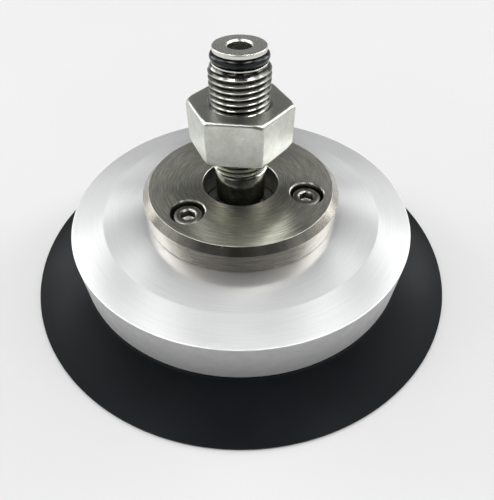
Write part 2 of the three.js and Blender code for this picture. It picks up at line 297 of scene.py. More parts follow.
def tool_marks(tree, per_metre):
    """Noise that changes only across the tool marks."""
    settings = {"W": across_turning(tree), "Scale": per_metre, "Detail": 2.0, "Roughness": 0.6}
    return add(tree, "ShaderNodeTexNoise", settings, noise_dimensions="1D").outputs["Fac"]


def patches(tree, per_metre, detail=3.0, roughness=0.55):
    """Cloudy noise. Roughness is how strong its finer layers are."""
    settings = {
        "Vector": object_point(tree),
        "Scale": per_metre,
        "Detail": detail,
        "Roughness": roughness,
    }
    return add(tree, "ShaderNodeTexNoise", settings).outputs["Fac"]


def ranged(tree, value, start, end, from_min=0.3, from_max=0.7, steps="LINEAR"):
    """A value between two limits, spread from start to end."""
    settings = {
        "Value": value,
        "From Min": from_min,
        "From Max": from_max,
        "To Min": start,
        "To Max": end,
    }
    return add(tree, "ShaderNodeMapRange", settings, interpolation_type=steps).outputs["Result"]


def tinted(tree, value, dark, light, low_end=0.3, high_end=0.7):
    """A colour between two, chosen by a value."""
    ramp = add(tree, "ShaderNodeValToRGB", {"Fac": value})
    ramp.color_ramp.elements[0].position = low_end
    ramp.color_ramp.elements[0].color = (*dark, 1)
    ramp.color_ramp.elements[1].position = high_end
    ramp.color_ramp.elements[1].color = (*light, 1)
    return ramp.outputs["Color"]


def raised(tree, height, depth_mm, under=None):
    """A bump of a real depth, on top of another if there is one."""
    settings = {"Height": height, "Distance": depth_mm * MM, "Strength": 1.0}
    if under is not None:
        settings["Normal"] = under
    return add(tree, "ShaderNodeBump", settings).outputs["Normal"]


def streaks(tree, per_metre, shortness):
    """Scratches of a limited length that run round the turning axis."""
    around = add(tree, "ShaderNodeVectorMath", {0: from_axis(tree)}, operation="NORMALIZE").outputs[0]
    settings = {0: around, "Scale": shortness}
    scaled = add(tree, "ShaderNodeVectorMath", settings, operation="SCALE").outputs[0]
    parts = add(tree, "ShaderNodeSeparateXYZ", {0: scaled})
    spread = combined(tree, "MULTIPLY", across_turning(tree), per_metre)
    settings = {0: parts.outputs["X"], 1: parts.outputs["Y"], 2: spread}
    place = add(tree, "ShaderNodeCombineXYZ", settings).outputs[0]
    settings = {"Vector": place, "Scale": 1.0, "Detail": 3.0, "Roughness": 0.65}
    return add(tree, "ShaderNodeTexNoise", settings).outputs["Fac"]


def turned_metal(
    name, dark, light, contrast, roughness, anisotropy, marks, depth_mm, scratches, wear=0.06, metallic=1.0
):
    """Metal cut on a lathe: circular tool marks and scratches, and highlights stretched across them.

    contrast holds the noise levels of the dark and the light colour, marks is how fine the tool
    marks are, more scratches are shorter ones, and wear is how much the roughness varies.
    """
    material, tree, shader = started(name, Metallic=metallic, Anisotropic=anisotropy)
    low_end, high_end = contrast
    fine = tool_marks(tree, marks)
    long = streaks(tree, marks * 0.35, scratches)
    mean = combined(tree, "MULTIPLY", combined(tree, "ADD", fine, long), 0.5)
    link(tree, tinted(tree, mean, dark, light, low_end, high_end), shader, "Base Color")
    smudges = ranged(tree, patches(tree, 180), -wear / 2, wear / 2)
    scratched = ranged(tree, long, roughness - wear / 2, roughness + wear)
    link(tree, combined(tree, "ADD", scratched, smudges), shader, "Roughness")
    link(tree, raised(tree, long, depth_mm, raised(tree, fine, depth_mm * 0.4)), shader, "Normal")
    radial = add(tree, "ShaderNodeTangent", direction_type="RADIAL", axis="Z")
    link(tree, radial.outputs["Tangent"], shader, "Tangent")
    return material


def plated_metal(name, dark, light, roughness, grain=900, depth_mm=0.006, speckle=0.55, metallic=1.0):
    """Formed and plated steel: a fine uneven grain with cloudy colour."""
    material, tree, shader = started(name, Metallic=metallic)
    cloudy = patches(tree, 260, 8.0, speckle)
    link(tree, tinted(tree, cloudy, dark, light), shader, "Base Color")
    link(tree, ranged(tree, cloudy, roughness + 0.06, roughness - 0.04), shader, "Roughness")
    link(tree, raised(tree, patches(tree, grain, 2.0), depth_mm), shader, "Normal")
    return material


def thread_metal_with_painted_light(name, root, crest, root_radius, crest_radius, roughness):
    """A cut thread with painted light: painted shade darkens its roots and a painted highlight brightens
    its crests, under random blotches.
    """
    material, tree, shader = started(name, Metallic=1.0)
    # Colour follows the radius: painted shade in the roots, painted highlight on the crests.
    height = ranged(tree, axis_distance(tree), 0.0, 1.0, root_radius * MM, crest_radius * MM)
    uneven = ranged(tree, patches(tree, 900, 4.0), -0.15, 0.15)
    painted_light_and_blotches = combined(tree, "ADD", height, uneven)
    link(tree, tinted(tree, painted_light_and_blotches, root, crest, 0.0, 1.0), shader, "Base Color")
    smudges = patches(tree, 500)
    link(tree, ranged(tree, smudges, roughness - 0.05, roughness + 0.05), shader, "Roughness")
    link(tree, raised(tree, patches(tree, 2500, 2.0), 0.004), shader, "Normal")
    return material


def black_rubber(name, dark, light, roughness, specular, grain, depth_mm):
    """Moulded rubber: near black, with a fine satin grain, faint clouds and a bluish sheen."""
    sheen = (0.88, 0.95, 1.0, 1)
    material, tree, shader = started(
        name, Metallic=0.0, Specular_IOR_Level=specular, Specular_Tint=sheen
    )
    cloudy = patches(tree, 60, 4.0)
    link(tree, tinted(tree, cloudy, dark, light), shader, "Base Color")
    link(tree, ranged(tree, cloudy, roughness - 0.05, roughness + 0.06), shader, "Roughness")
    link(tree, raised(tree, patches(tree, grain, 2.0), depth_mm), shader, "Normal")
    return material


def machined_plastic(name, dark, light, roughness):
    """Plastic with the circular marks of the tool that cut it."""
    material, tree, shader = started(name, Metallic=0.0)
    marks = tool_marks(tree, 6000)
    link(tree, tinted(tree, marks, dark, light), shader, "Base Color")
    link(tree, ranged(tree, marks, roughness - 0.05, roughness + 0.05), shader, "Roughness")
    link(tree, raised(tree, marks, 0.01), shader, "Normal")
    return material


ALUMINIUM = turned_metal(
    "turned_aluminium",
    dark=(0.79, 0.795, 0.795),
    light=(0.90, 0.905, 0.905),
    contrast=(0.3, 0.6),
    roughness=0.28,
    anisotropy=0.92,
    marks=9000,
    depth_mm=0.0001,
    scratches=3,
    wear=0.004,
    metallic=0.85,
)
SATIN_ALUMINIUM = plated_metal(
    "satin_aluminium",
    dark=(0.62, 0.625, 0.62),
    light=(0.72, 0.725, 0.72),
    roughness=0.55,
    grain=2500,
    depth_mm=0.01,
    metallic=0.7,
)
RING_STEEL = turned_metal(
    "turned_nickel_steel",
    dark=(0.36, 0.36, 0.315),
    light=(0.95, 0.94, 0.83),
    contrast=(0.44, 0.68),
    roughness=0.30,
    anisotropy=0.6,
    marks=12000,
    depth_mm=0.003,
    scratches=4,
    wear=0.03,
)
# A darker copy of the ring steel for the ring's side and chamfer: painted shade.
RING_SIDE_PAINTED_SHADE = turned_metal(
    "turned_ring_side_painted_shade",
    dark=(0.15, 0.14, 0.122),
    light=(0.45, 0.43, 0.38),
    contrast=(0.36, 0.64),
    roughness=0.25,
    anisotropy=0.5,
    marks=9000,
    depth_mm=0.003,
    scratches=4,
    wear=0.03,
)
STEM_STEEL = turned_metal(
    "turned_stainless",
    dark=(0.58, 0.58, 0.53),
    light=(0.80, 0.80, 0.74),
    contrast=(0.4, 0.6),
    roughness=0.24,
    anisotropy=0.3,
    marks=7000,
    depth_mm=0.003,
    scratches=3,
)
# root is the painted shade colour and crest the painted highlight colour of the thread.
THREAD_STEEL = thread_metal_with_painted_light(
    "cut_thread_painted_light",
    root=(0.02, 0.02, 0.018),
    crest=(0.52, 0.52, 0.475),
    root_radius=THREAD_ROOT,
    crest_radius=THREAD_RADIUS,
    roughness=0.18,
)
HOLDER_STEEL = plated_metal(
    "zinc_plated_sheet",
    dark=(0.50, 0.51, 0.50),
    light=(0.66, 0.67, 0.66),
    roughness=0.34,
)
SCREW_STEEL = plated_metal(
    "screw_steel",
    dark=(0.20, 0.20, 0.178),
    light=(0.34, 0.34, 0.30),
    roughness=0.28,
    speckle=0.7,
)
NUT_ZINC = plated_metal(
    "zinc_plated_nut",
    dark=(0.44, 0.455, 0.41),
    light=(0.68, 0.69, 0.635),
    roughness=0.30,
    grain=2200,
    depth_mm=0.012,
    speckle=0.8,
)
SPRING_STEEL = plated_metal(
    "spring_steel",
    dark=(0.40, 0.40, 0.40),
    light=(0.58, 0.58, 0.58),
    roughness=0.25,
)
PAD_RUBBER = black_rubber(
    "moulded_pad_rubber",
    dark=(0.0022, 0.003, 0.0036),
    light=(0.004, 0.005, 0.006),
    roughness=0.40,
    specular=0.07,
    grain=4000,
    depth_mm=0.006,
)
SEAL_RUBBER = black_rubber(
    "seal_rubber",
    dark=(0.003, 0.003, 0.0035),
    light=(0.005, 0.005, 0.006),
    roughness=0.18,
    specular=0.35,
    grain=6000,
    depth_mm=0.002,
)
SEAT_PLASTIC = machined_plastic(
    "machined_bearing_plastic",
    dark=(0.02, 0.02, 0.021),
    light=(0.035, 0.035, 0.036),
    roughness=0.45,
)


# ---------------------------------------------------------------- rubber pad

# FIT is the room between the pad and the metal round it.
FIT = 0.1
LIP = outer("suction_pad")
PLATE_UNDERSIDE = 9.4
SKIRT_BOTTOM = 6.7
SKIRT_INNER = 50.0
HOLDER_RADIUS = outer("holder_plate")
BOSS_RADIUS = 18.0
PAD_UNDERSIDE = 6.2
PAD_CLAMPED = 7.0
CLEAT_BOTTOM = 4.5
CLEATS = (34.0, 39.5, 45.0)
CLEAT_WIDTH = 2.0
CLEAT_GAPS = 12
CLEAT_GAP_REACH = math.radians(4)
CLEAT_GAP_SLOPE = 0.4
CLEAT_GAP_HEIGHT = 0.15
CLEAT_EDGE = 0.25


def in_gap(angle):
    """1 in the middle of an air gap between cleats, 0 along them."""
    spacing = TURN / CLEAT_GAPS
    away = abs((angle + spacing / 2) % spacing - spacing / 2)
    t = min(1.0, max(0.0, (CLEAT_GAP_REACH - away) / (CLEAT_GAP_REACH * CLEAT_GAP_SLOPE)))
    return t * t * (3 - 2 * t)


def cleat_rows(inner):
    """Rows round one ring of cleats, which almost vanishes at each air gap."""
    outside = inner + CLEAT_WIDTH

    def row(radius, height):
        gap_height = PAD_UNDERSIDE - CLEAT_GAP_HEIGHT
        return lambda angle: (radius, height + (gap_height - height) * in_gap(angle))

    return [
        (inner, PAD_UNDERSIDE),
        row(inner, CLEAT_BOTTOM + CLEAT_EDGE),
        row(inner + CLEAT_EDGE, CLEAT_BOTTOM),
        row(outside - CLEAT_EDGE, CLEAT_BOTTOM),
        row(outside, CLEAT_BOTTOM + CLEAT_EDGE),
        (outside, PAD_UNDERSIDE),
    ]


def suction_pad():
    boss = BOSS_RADIUS + FIT
    clamped = HOLDER_RADIUS + 1
    rim_top = SKIRT_BOTTOM - FIT
    rim_inner = SKIRT_INNER - FIT
    top = PLATE_UNDERSIDE - FIT
    inside = bend((47.5, PAD_UNDERSIDE), (53.5, 1.5), (LIP - 1.4, 0.08))
    outside = bend((LIP, 0.75), (60, 2.2), (52.5, rim_top))
    rows = [(boss, PAD_CLAMPED), (clamped, PAD_CLAMPED), (clamped, PAD_UNDERSIDE)]
    for inner in CLEATS:
        rows += cleat_rows(inner)
    rows += inside
    rows += [(LIP - 1.1, 0.0), (LIP - 0.35, 0.0), (LIP - 0.1, 0.12), (LIP, 0.35)]
    rows += outside
    rows += [(rim_inner, rim_top), (rim_inner, top), (boss, top)]
    piece = wrap("suction_pad_finished", rows, even(360))
    placed(piece, "suction_pad", PAD_RUBBER)
    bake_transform(piece)


suction_pad()


# ---------------------------------------------------------------- plate and ring

CAP_HEAD_HEIGHT = 5.0
PLATE_TOP = high("adapter_plate")
PLATE_RADIUS = outer("adapter_plate")
RING_RADIUS = outer("retainer_ring")
RING_TOP = high("retainer_ring")
RING_BORE = 11.5
RING_CHAMFER = 2.0
CAP_SCREWS = [f"retainer_screw_{index}" for index in (1, 2, 3)]
FLAT_SCREWS = [f"holder_screw_{index}" for index in range(1, 7)]


def hole_cutter(profile, node, sides=48):
    """A turned cutter that stands where a screw is."""
    place = centre_of(node)
    return moved(turned("cutter", profile, sides, closed=False), place.x, place.y)


BEVEL_RADIUS = 43.1
BEVEL_DROP = 1.1
BEVEL_LINE = 0.12
VACUUM_HOLE_RADIUS = 5.0
SCREEN_RECESS_RADIUS = 7.0
SCREEN_RECESS_TOP = 6.2
POCKET_RADIUS = 14.0
POCKET_FLOOR = 8.0
SEAL_GROOVE_INNER = 15.0
SEAL_GROOVE_OUTER = 17.0
SEAL_GROOVE_FLOOR = 19.4


def plate_wall(face):
    return face.center.xy.length > (PLATE_RADIUS - 0.1) * MM and abs(face.normal.z) < 0.5


def adapter_plate():
    boss_bottom = low("adapter_plate")
    edge = PLATE_TOP - BEVEL_DROP
    past_line = PLATE_TOP - BEVEL_DROP * BEVEL_LINE / (PLATE_RADIUS - BEVEL_RADIUS)
    profile = [
        (VACUUM_HOLE_RADIUS, SCREEN_RECESS_TOP, 0.1),
        (SCREEN_RECESS_RADIUS, SCREEN_RECESS_TOP),
        (SCREEN_RECESS_RADIUS, boss_bottom, 0.2),
        (BOSS_RADIUS, boss_bottom, 0.5),
        (BOSS_RADIUS, PLATE_UNDERSIDE),
        (SKIRT_INNER, PLATE_UNDERSIDE),
        (SKIRT_INNER, SKIRT_BOTTOM, 0.3),
        (PLATE_RADIUS, SKIRT_BOTTOM, 0.3),
        (PLATE_RADIUS, edge, 0.25),
        (BEVEL_RADIUS + BEVEL_LINE, past_line),
        (BEVEL_RADIUS, PLATE_TOP),
        (SEAL_GROOVE_OUTER, PLATE_TOP),
        (SEAL_GROOVE_OUTER, SEAL_GROOVE_FLOOR),
        (SEAL_GROOVE_INNER, SEAL_GROOVE_FLOOR),
        (SEAL_GROOVE_INNER, PLATE_TOP),
        (POCKET_RADIUS, PLATE_TOP, 0.2),
        (POCKET_RADIUS, POCKET_FLOOR),
        (VACUUM_HOLE_RADIUS, POCKET_FLOOR, 0.1),
    ]
    piece = turned("adapter_plate_finished", profile, 256)
    from_above = [(0, 10.6), (2.4, 12.0), (2.4, 22.0), (0, 22.0)]
    from_below = [(0, 9.0), (1.9, 9.0), (1.9, 16.0), (0, 17.2)]
    cutters = [hole_cutter(from_above, node) for node in CAP_SCREWS]
    cutters += [hole_cutter(from_below, node) for node in FLAT_SCREWS]
    carved(piece, cutters)
    split_materials(piece, ALUMINIUM, SATIN_ALUMINIUM, plate_wall)
    placed(piece, "adapter_plate", ALUMINIUM)


def ring_side(face):
    chamfer_inner = RING_RADIUS - RING_CHAMFER + 0.05
    return face.center.xy.length > chamfer_inner * MM and face.normal.z < 0.9


def retainer_ring():
    bottom = low("retainer_ring") - 0.08
    profile = [
        (RING_BORE, bottom, 0.3),
        (RING_RADIUS, bottom, 0.25),
        (RING_RADIUS, RING_TOP - RING_CHAMFER, 0.15),
        (RING_RADIUS - RING_CHAMFER, RING_TOP, 0.22),
        (RING_BORE, RING_TOP, 0.45),
    ]
    piece = turned("retainer_ring_finished", profile, 240)
    hole = 2.75
    wall = 5.0
    countersink = 0.3
    floor = high(CAP_SCREWS[0]) - CAP_HEAD_HEIGHT - 0.1
    past_bottom = bottom - 1
    past_top = 0.6
    counterbore = [
        (0, past_bottom),
        (hole, past_bottom),
        (hole, floor),
        (wall, floor, 0.2),
        (wall, RING_TOP - countersink),
        (wall + countersink, RING_TOP),
        (wall + countersink + past_top, RING_TOP + past_top),
        (0, RING_TOP + past_top),
    ]
    carved(piece, [hole_cutter(counterbore, node, 64) for node in CAP_SCREWS])
    # The side and chamfer get the darker copy of the ring steel, which is painted shade.
    split_materials(piece, RING_STEEL, RING_SIDE_PAINTED_SHADE, ring_side)
    placed(piece, "retainer_ring", RING_STEEL)


adapter_plate()
retainer_ring()


# ---------------------------------------------------------------- threads and hexagons


def hexagon(flats, corner_rounding=0.0, turn=0.0):
    """The radius of a hexagon at an angle, with a corner at turn and rounded corners."""
    apothem = flats / 2
    spacing = TURN / 6
    hub = (apothem - corner_rounding) / math.cos(spacing / 2)

    def radius(angle):
        away = abs((angle - turn + spacing / 2) % spacing - spacing / 2)
        flat = apothem / math.cos(spacing / 2 - away)
        inside = corner_rounding**2 - (hub * math.sin(away)) ** 2
        if inside <= 0:
            return flat
        return min(flat, hub * math.cos(away) + math.sqrt(inside))

    return radius


def thread_rows(pitch, crest, root, start, end, limit, phase=0.0, steps_down=False):
    """Rows that wind round a screw thread between two heights.

    crest and root are the radii at the top and bottom of the outside thread, limit gives the
    radius that an end chamfer or run-out leaves at a height, from the radius of the full form,
    and phase is the height of a crest at angle 0.
    """
    shape = [
        (-pitch / 16, crest),
        (pitch / 16, crest),
        (pitch / 4, (crest + root) / 2),
        (pitch / 2 - pitch / 14, root),
        (pitch / 2 + pitch / 14, root),
        (pitch * 3 / 4, (crest + root) / 2),
    ]
    first = math.floor((start - phase) / pitch) - 2
    last = math.ceil((end - phase) / pitch) + 1
    rows = []
    for turn in range(first, last):
        for along, radius in shape:
            base = phase + turn * pitch + along

            def row(angle, base=base, radius=radius):
                height = min(end, max(start, base + pitch * angle / TURN))
                return limit(height, radius), height

            rows.append(row)
    return rows[::-1] if steps_down else rows


THREAD_BOTTOM = 35.2
THREAD_LEAD_END = 65.5
THREAD_PHASE = 36.9
BALL_CUT = 7.5
BORE_RADIUS = 3.0
NECK_RADIUS = 5.0
NECK_TOP = 24.2
SHANK_RADIUS = 7.5
SHANK_BOTTOM = 25.4
LEAD_RADIUS = 7.0
GROOVE_RADIUS = 5.3
GROOVE_BOTTOM = 65.8
COLLAR_RADIUS = 6.7
COLLAR_BOTTOM = 68.2
BORE_CHAMFER = 0.4


def stem_limit(height, radius):
    """The stem's thread fades into the shank below and is cut by a cone at the top."""
    fade_height = 0.7
    lead_slope = 0.8
    fade = min(1.0, (height - THREAD_BOTTOM) / fade_height)
    lead = LEAD_RADIUS + (THREAD_LEAD_END - height) * lead_slope
    return min(SHANK_RADIUS + (radius - SHANK_RADIUS) * fade, lead)


def shank_or_thread(face):
    return face.center.xy.length > (LEAD_RADIUS + 0.02) * MM and face.center.z > (SHANK_BOTTOM + 0.1) * MM


def ball_stem():
    top = high("ball_stem")
    foot = math.degrees(math.asin(-BALL_CUT / BALL_RADIUS))
    shoulder = math.degrees(math.acos(NECK_RADIUS / BALL_RADIUS))
    below = [
        (BORE_RADIUS, 12.0),
        (BORE_RADIUS, BALL_CENTRE - BALL_CUT, 0.4),
        *arc(BALL_RADIUS, BALL_CENTRE, foot, shoulder, 40),
        (NECK_RADIUS, NECK_TOP, 0.2),
        (SHANK_RADIUS, SHANK_BOTTOM, 0.4),
        (SHANK_RADIUS, THREAD_BOTTOM - 0.2),
    ]
    above = [
        (LEAD_RADIUS, THREAD_LEAD_END + 0.1),
        (LEAD_RADIUS, GROOVE_BOTTOM, 0.12),
        (GROOVE_RADIUS, GROOVE_BOTTOM, 0.2),
        (GROOVE_RADIUS, COLLAR_BOTTOM, 0.2),
        (COLLAR_RADIUS, COLLAR_BOTTOM, 0.12),
        (COLLAR_RADIUS, top, 0.3),
        (BORE_RADIUS + BORE_CHAMFER, top, 0.05),
        (BORE_RADIUS, top - BORE_CHAMFER, 0.05),
        (BORE_RADIUS, top - 20),
    ]
    rows = rounded(below, closed=False)
    rows += thread_rows(
        PITCH, THREAD_RADIUS, THREAD_ROOT, THREAD_BOTTOM, THREAD_LEAD_END, stem_limit, THREAD_PHASE
    )
    rows += rounded(above, closed=False)
    piece = wrap("ball_stem_finished", rows, even(96))
    # The shank and thread take the thread material, so painted shade also darkens the shank below the
    # lighter collar.
    split_materials(piece, STEM_STEEL, THREAD_STEEL, shank_or_thread)
    placed(piece, "ball_stem", STEM_STEEL)


NUT_FLATS = 25.4
NUT_FACE = 13.4
NUT_TURN = math.radians(90 - 7.5)
NUT_EDGE = 0.75
NUT_CORNER_ROUNDING = 0.8
NUT_SLOPE = math.tan(math.radians(30))
NUT_BORE = 7.9
NUT_COUNTERSINK_RADIUS = 8.75
NUT_COUNTERSINK_DEPTH = 0.75
NUT_THREAD_ROOM = 0.06
NUT_THREAD_ROOT = 7.22


def nut_edge_rows(radius, end, side):
    """Rows round an end of the nut, from its face out over its rounded edge to its flats.

    end is the height of the face, and side is 1 at the top and -1 at the bottom.
    """
    steps = 5
    rows = []
    for step in range(steps + 1):
        swing = math.pi / 2 * step / steps
        inwards = NUT_EDGE * (1 - math.sin(swing))
        drop = NUT_EDGE * (1 - math.cos(swing))

        def row(angle, inwards=inwards, drop=drop):
            reach = radius(angle) - inwards
            return reach, end - side * (drop + max(0.0, reach - NUT_FACE) * NUT_SLOPE)

        rows.append(row)
    face = [lambda angle: (min(NUT_FACE, radius(angle) - NUT_EDGE) - 0.01, end)]
    return face + rows


def nut_angles():
    """Angles round the nut, closer together at its corners."""
    steps = 14
    corner = math.radians(2.4)
    between = TURN / 6 - 2 * corner
    angles = []
    for index in range(6):
        start = NUT_TURN + index * TURN / 6
        angles += [start + corner * part / 3 for part in range(-3, 4)]
        angles += [start + corner + between * step / steps for step in range(1, steps)]
    return [0.0] + sorted(angle % TURN for angle in angles) + [TURN]


def lock_nut():
    bottom, top = low("lock_nut"), high("lock_nut")
    low_end, high_end = bottom + 0.02, top - 0.02
    slope = (NUT_COUNTERSINK_RADIUS - NUT_BORE) / NUT_COUNTERSINK_DEPTH
    radius = hexagon(NUT_FLATS, NUT_CORNER_ROUNDING, NUT_TURN)

    def limit(height, form):
        """Countersinks open the nut's thread at both ends."""
        near = min(height - bottom, top - height)
        return max(form + NUT_THREAD_ROOM, NUT_COUNTERSINK_RADIUS - near * slope)

    rows = [(NUT_COUNTERSINK_RADIUS, bottom)]
    rows += nut_edge_rows(radius, bottom, -1)
    rows += nut_edge_rows(radius, top, 1)[::-1]
    rows += [(NUT_COUNTERSINK_RADIUS, top)]
    rows += thread_rows(
        PITCH, THREAD_RADIUS, NUT_THREAD_ROOT, low_end, high_end, limit, THREAD_PHASE, steps_down=True
    )
    placed(wrap("lock_nut_finished", rows, nut_angles()), "lock_nut", NUT_ZINC)


ball_stem()
lock_nut()


# ---------------------------------------------------------------- screws


CAP_HEAD_RADIUS = 4.25
CAP_SOCKET_FLATS = 4.0
CAP_SOCKET_DEPTH = 2.5
CAP_THREAD = {"pitch": 0.8, "crest": 2.35, "root": 1.95}
KNURLS = 36
KNURL_DEPTH = 0.16
FLAT_HEAD_RADIUS = 3.7
FLAT_SOCKET_FLATS = 2.5
FLAT_THREAD = {"pitch": 0.7, "crest": 1.88, "root": 1.5}


def knurled(angle):
    """The radius of a cap screw's grooved head."""
    return CAP_HEAD_RADIUS - KNURL_DEPTH * (0.5 + 0.5 * math.cos(KNURLS * angle))


def cap_screw(node):
    """A socket head cap screw, from its tip up over the head and down into the socket."""
    top = high(node)
    tip = low(node)
    under_head = top - CAP_HEAD_HEIGHT
    place = centre_of(node)
    socket = hexagon(CAP_SOCKET_FLATS, 0.05)
    mouth = 2.38
    mouth_height = top - 0.14

    def tip_limit(height, radius):
        """The first turns rise out of a chamfered tip."""
        return min(radius, CAP_THREAD["root"] + height - tip)

    rows = [(0, tip), (2.0, tip)]
    rows += thread_rows(**CAP_THREAD, start=tip, end=under_head - 0.6, limit=tip_limit, phase=tip)
    rows += [
        (2.1, under_head - 0.5),
        (2.1, under_head),
        (3.9, under_head),
        lambda angle: (knurled(angle), under_head + 0.3),
        lambda angle: (knurled(angle), top - 0.5),
        (4.08, top - 0.38),
        (3.95, top - 0.12),
        (3.7, top),
        (2.75, top),
        (2.5, top - 0.05),
        (mouth, mouth_height),
        lambda angle: (socket(angle), mouth_height - (mouth - socket(angle)) * 0.6),
        lambda angle: (socket(angle), top - CAP_SOCKET_DEPTH + 0.1),
        lambda angle: (socket(angle) * 0.9, top - CAP_SOCKET_DEPTH - 0.05),
        (0, top - CAP_SOCKET_DEPTH - 0.5),
    ]
    piece = wrap(f"{node}_finished", rows, even(72), closed=False)
    placed(moved(piece, place.x, place.y), node, SCREW_STEEL)


def flat_screw(node):
    """A countersunk screw with its head down, from its socket out over the head and up to its tip."""
    bottom = low(node)
    top = high(node)
    place = centre_of(node)
    socket = hexagon(FLAT_SOCKET_FLATS, 0.03)
    thread_end = top - 0.02

    def tip_limit(height, radius):
        """The last turns sink into a chamfered tip."""
        return min(radius, 1.45 + (thread_end - height))

    rows = [
        (0, bottom + 1.6),
        lambda angle: (socket(angle) * 0.9, bottom + 1.4),
        lambda angle: (socket(angle), bottom + 1.3),
        lambda angle: (socket(angle), bottom + 0.1),
        (1.62, bottom),
        (FLAT_HEAD_RADIUS - 0.1, bottom),
        (FLAT_HEAD_RADIUS, bottom + 0.08),
        (FLAT_HEAD_RADIUS, bottom + 0.25),
        (2.0, bottom + 1.9),
        (1.75, bottom + 2.6),
    ]
    rows += thread_rows(
        **FLAT_THREAD, start=bottom + 2.7, end=thread_end, limit=tip_limit, phase=bottom
    )
    rows += [(1.2, top), (0, top)]
    piece = wrap(f"{node}_finished", rows, even(48), closed=False)
    placed(moved(piece, place.x, place.y), node, SCREW_STEEL)


for screw in CAP_SCREWS:
    cap_screw(screw)
for screw in FLAT_SCREWS:
    flat_screw(screw)


# ---------------------------------------------------------------- seals, seats and spring


SEAT_RADIUS = 13.7
SEAT_SPHERE = 8.65
SEAT_GROOVE_RADIUS = 12.0
SEAT_GROOVE_LOW = 12.2
SEAT_GROOVE_HIGH = 14.2
BALL_SEAL_RECESS_RADIUS = 10.9
BALL_SEAL_RECESS_FLOOR = 14.7
SPRING_INNER = 9.5
SPRING_OUTER = 12.8
SPRING_THICKNESS = 0.4
SPRING_WAVES = 3
SPRING_RISE = 0.42


def middle(node):
    return (low(node) + high(node)) / 2


def o_ring(node, radius, section):
    """A round seal with the faint flash line of its mould."""
    height = middle(node)
    steps = 32
    rows = []
    for step in range(steps):
        angle = TURN * step / steps
        flash = 0.03 if step % (steps // 2) == 0 else 0.0
        out = (section + flash) * math.cos(angle)
        rows.append((radius + out, height + section * math.sin(angle)))
    placed(wrap(f"{node}_finished", rows, even(128)), node, SEAL_RUBBER)


def seat_arc(start, end):
    """The hollow that the ball turns in, between two heights."""
    angles = [math.degrees(math.asin((height - BALL_CENTRE) / SEAT_SPHERE)) for height in (start, end)]
    return arc(SEAT_SPHERE, BALL_CENTRE, *angles)


def upper_seat():
    bottom, top = low("upper_seat") - 0.1, high("upper_seat")
    profile = [
        (SEAT_RADIUS, bottom, 0.3),
        (SEAT_RADIUS, top, 0.4),
        (BALL_RADIUS, top, 0.15),
        *seat_arc(top - 0.4, bottom),
    ]
    placed(turned("upper_seat_finished", profile), "upper_seat", SEAT_PLASTIC)


def lower_seat():
    bottom, top = low("lower_seat"), high("lower_seat")
    profile = [
        (6.0, bottom, 0.1),
        (SEAT_RADIUS, bottom, 0.4),
        (SEAT_RADIUS, SEAT_GROOVE_LOW, 0.1),
        (SEAT_GROOVE_RADIUS, SEAT_GROOVE_LOW, 0.2),
        (SEAT_GROOVE_RADIUS, SEAT_GROOVE_HIGH, 0.2),
        (SEAT_RADIUS, SEAT_GROOVE_HIGH, 0.1),
        (SEAT_RADIUS, top, 0.3),
        (BALL_SEAL_RECESS_RADIUS, top, 0.15),
        (BALL_SEAL_RECESS_RADIUS, BALL_SEAL_RECESS_FLOOR, 0.2),
        *seat_arc(BALL_SEAL_RECESS_FLOOR, bottom + 0.2),
    ]
    placed(turned("lower_seat_finished", profile), "lower_seat", SEAT_PLASTIC)


def wave_spring():
    """A flat ring that waves up and down three times round the turn."""
    centre = middle("wave_spring")
    half = SPRING_THICKNESS / 2
    corners = [
        (SPRING_INNER, -half, 0.1),
        (SPRING_OUTER, -half, 0.1),
        (SPRING_OUTER, half, 0.1),
        (SPRING_INNER, half, 0.1),
    ]

    def row(radius, height):
        return lambda angle: (radius, centre + height + SPRING_RISE * math.sin(SPRING_WAVES * angle))

    rows = [row(radius, height) for radius, height in rounded(corners)]
    placed(wrap("wave_spring_finished", rows, even(144)), "wave_spring", SPRING_STEEL)


o_ring("stem_o_ring", 6.4, 1.0)
o_ring("ball_seal", 9.75, 0.85)
o_ring("seat_seal", 13.05, 0.75)
o_ring("ring_seal", 16.0, 0.8)
upper_seat()
lower_seat()
wave_spring()


# ---------------------------------------------------------------- holder plate and screen


def holder_plate():
    """A disc that clamps the pad, with countersunk screw holes."""
    bottom, top = low("holder_plate"), high("holder_plate")
    inner = BOSS_RADIUS + 0.3
    profile = [
        (inner, bottom, 0.2),
        (HOLDER_RADIUS, bottom, 0.5),
        (HOLDER_RADIUS, top, 0.2),
        (inner, top, 0.2),
    ]
    piece = turned("holder_plate_finished", profile, 192)
    mouth = FLAT_HEAD_RADIUS + 0.1
    hole = 2.2
    countersink = [
        (0, bottom - 0.5),
        (mouth + 0.5, bottom - 0.5),
        (mouth, bottom),
        (hole, bottom + mouth - hole),
        (hole, top + 1),
        (0, top + 1),
    ]
    carved(piece, [hole_cutter(countersink, node) for node in FLAT_SCREWS])
    placed(piece, "holder_plate", HOLDER_STEEL)


WIRE_RADIUS = 0.11
WIRE_SIDES = 6
MESH_PITCH = 0.55
MESH_RADIUS = outer("filter_screen") - 0.3


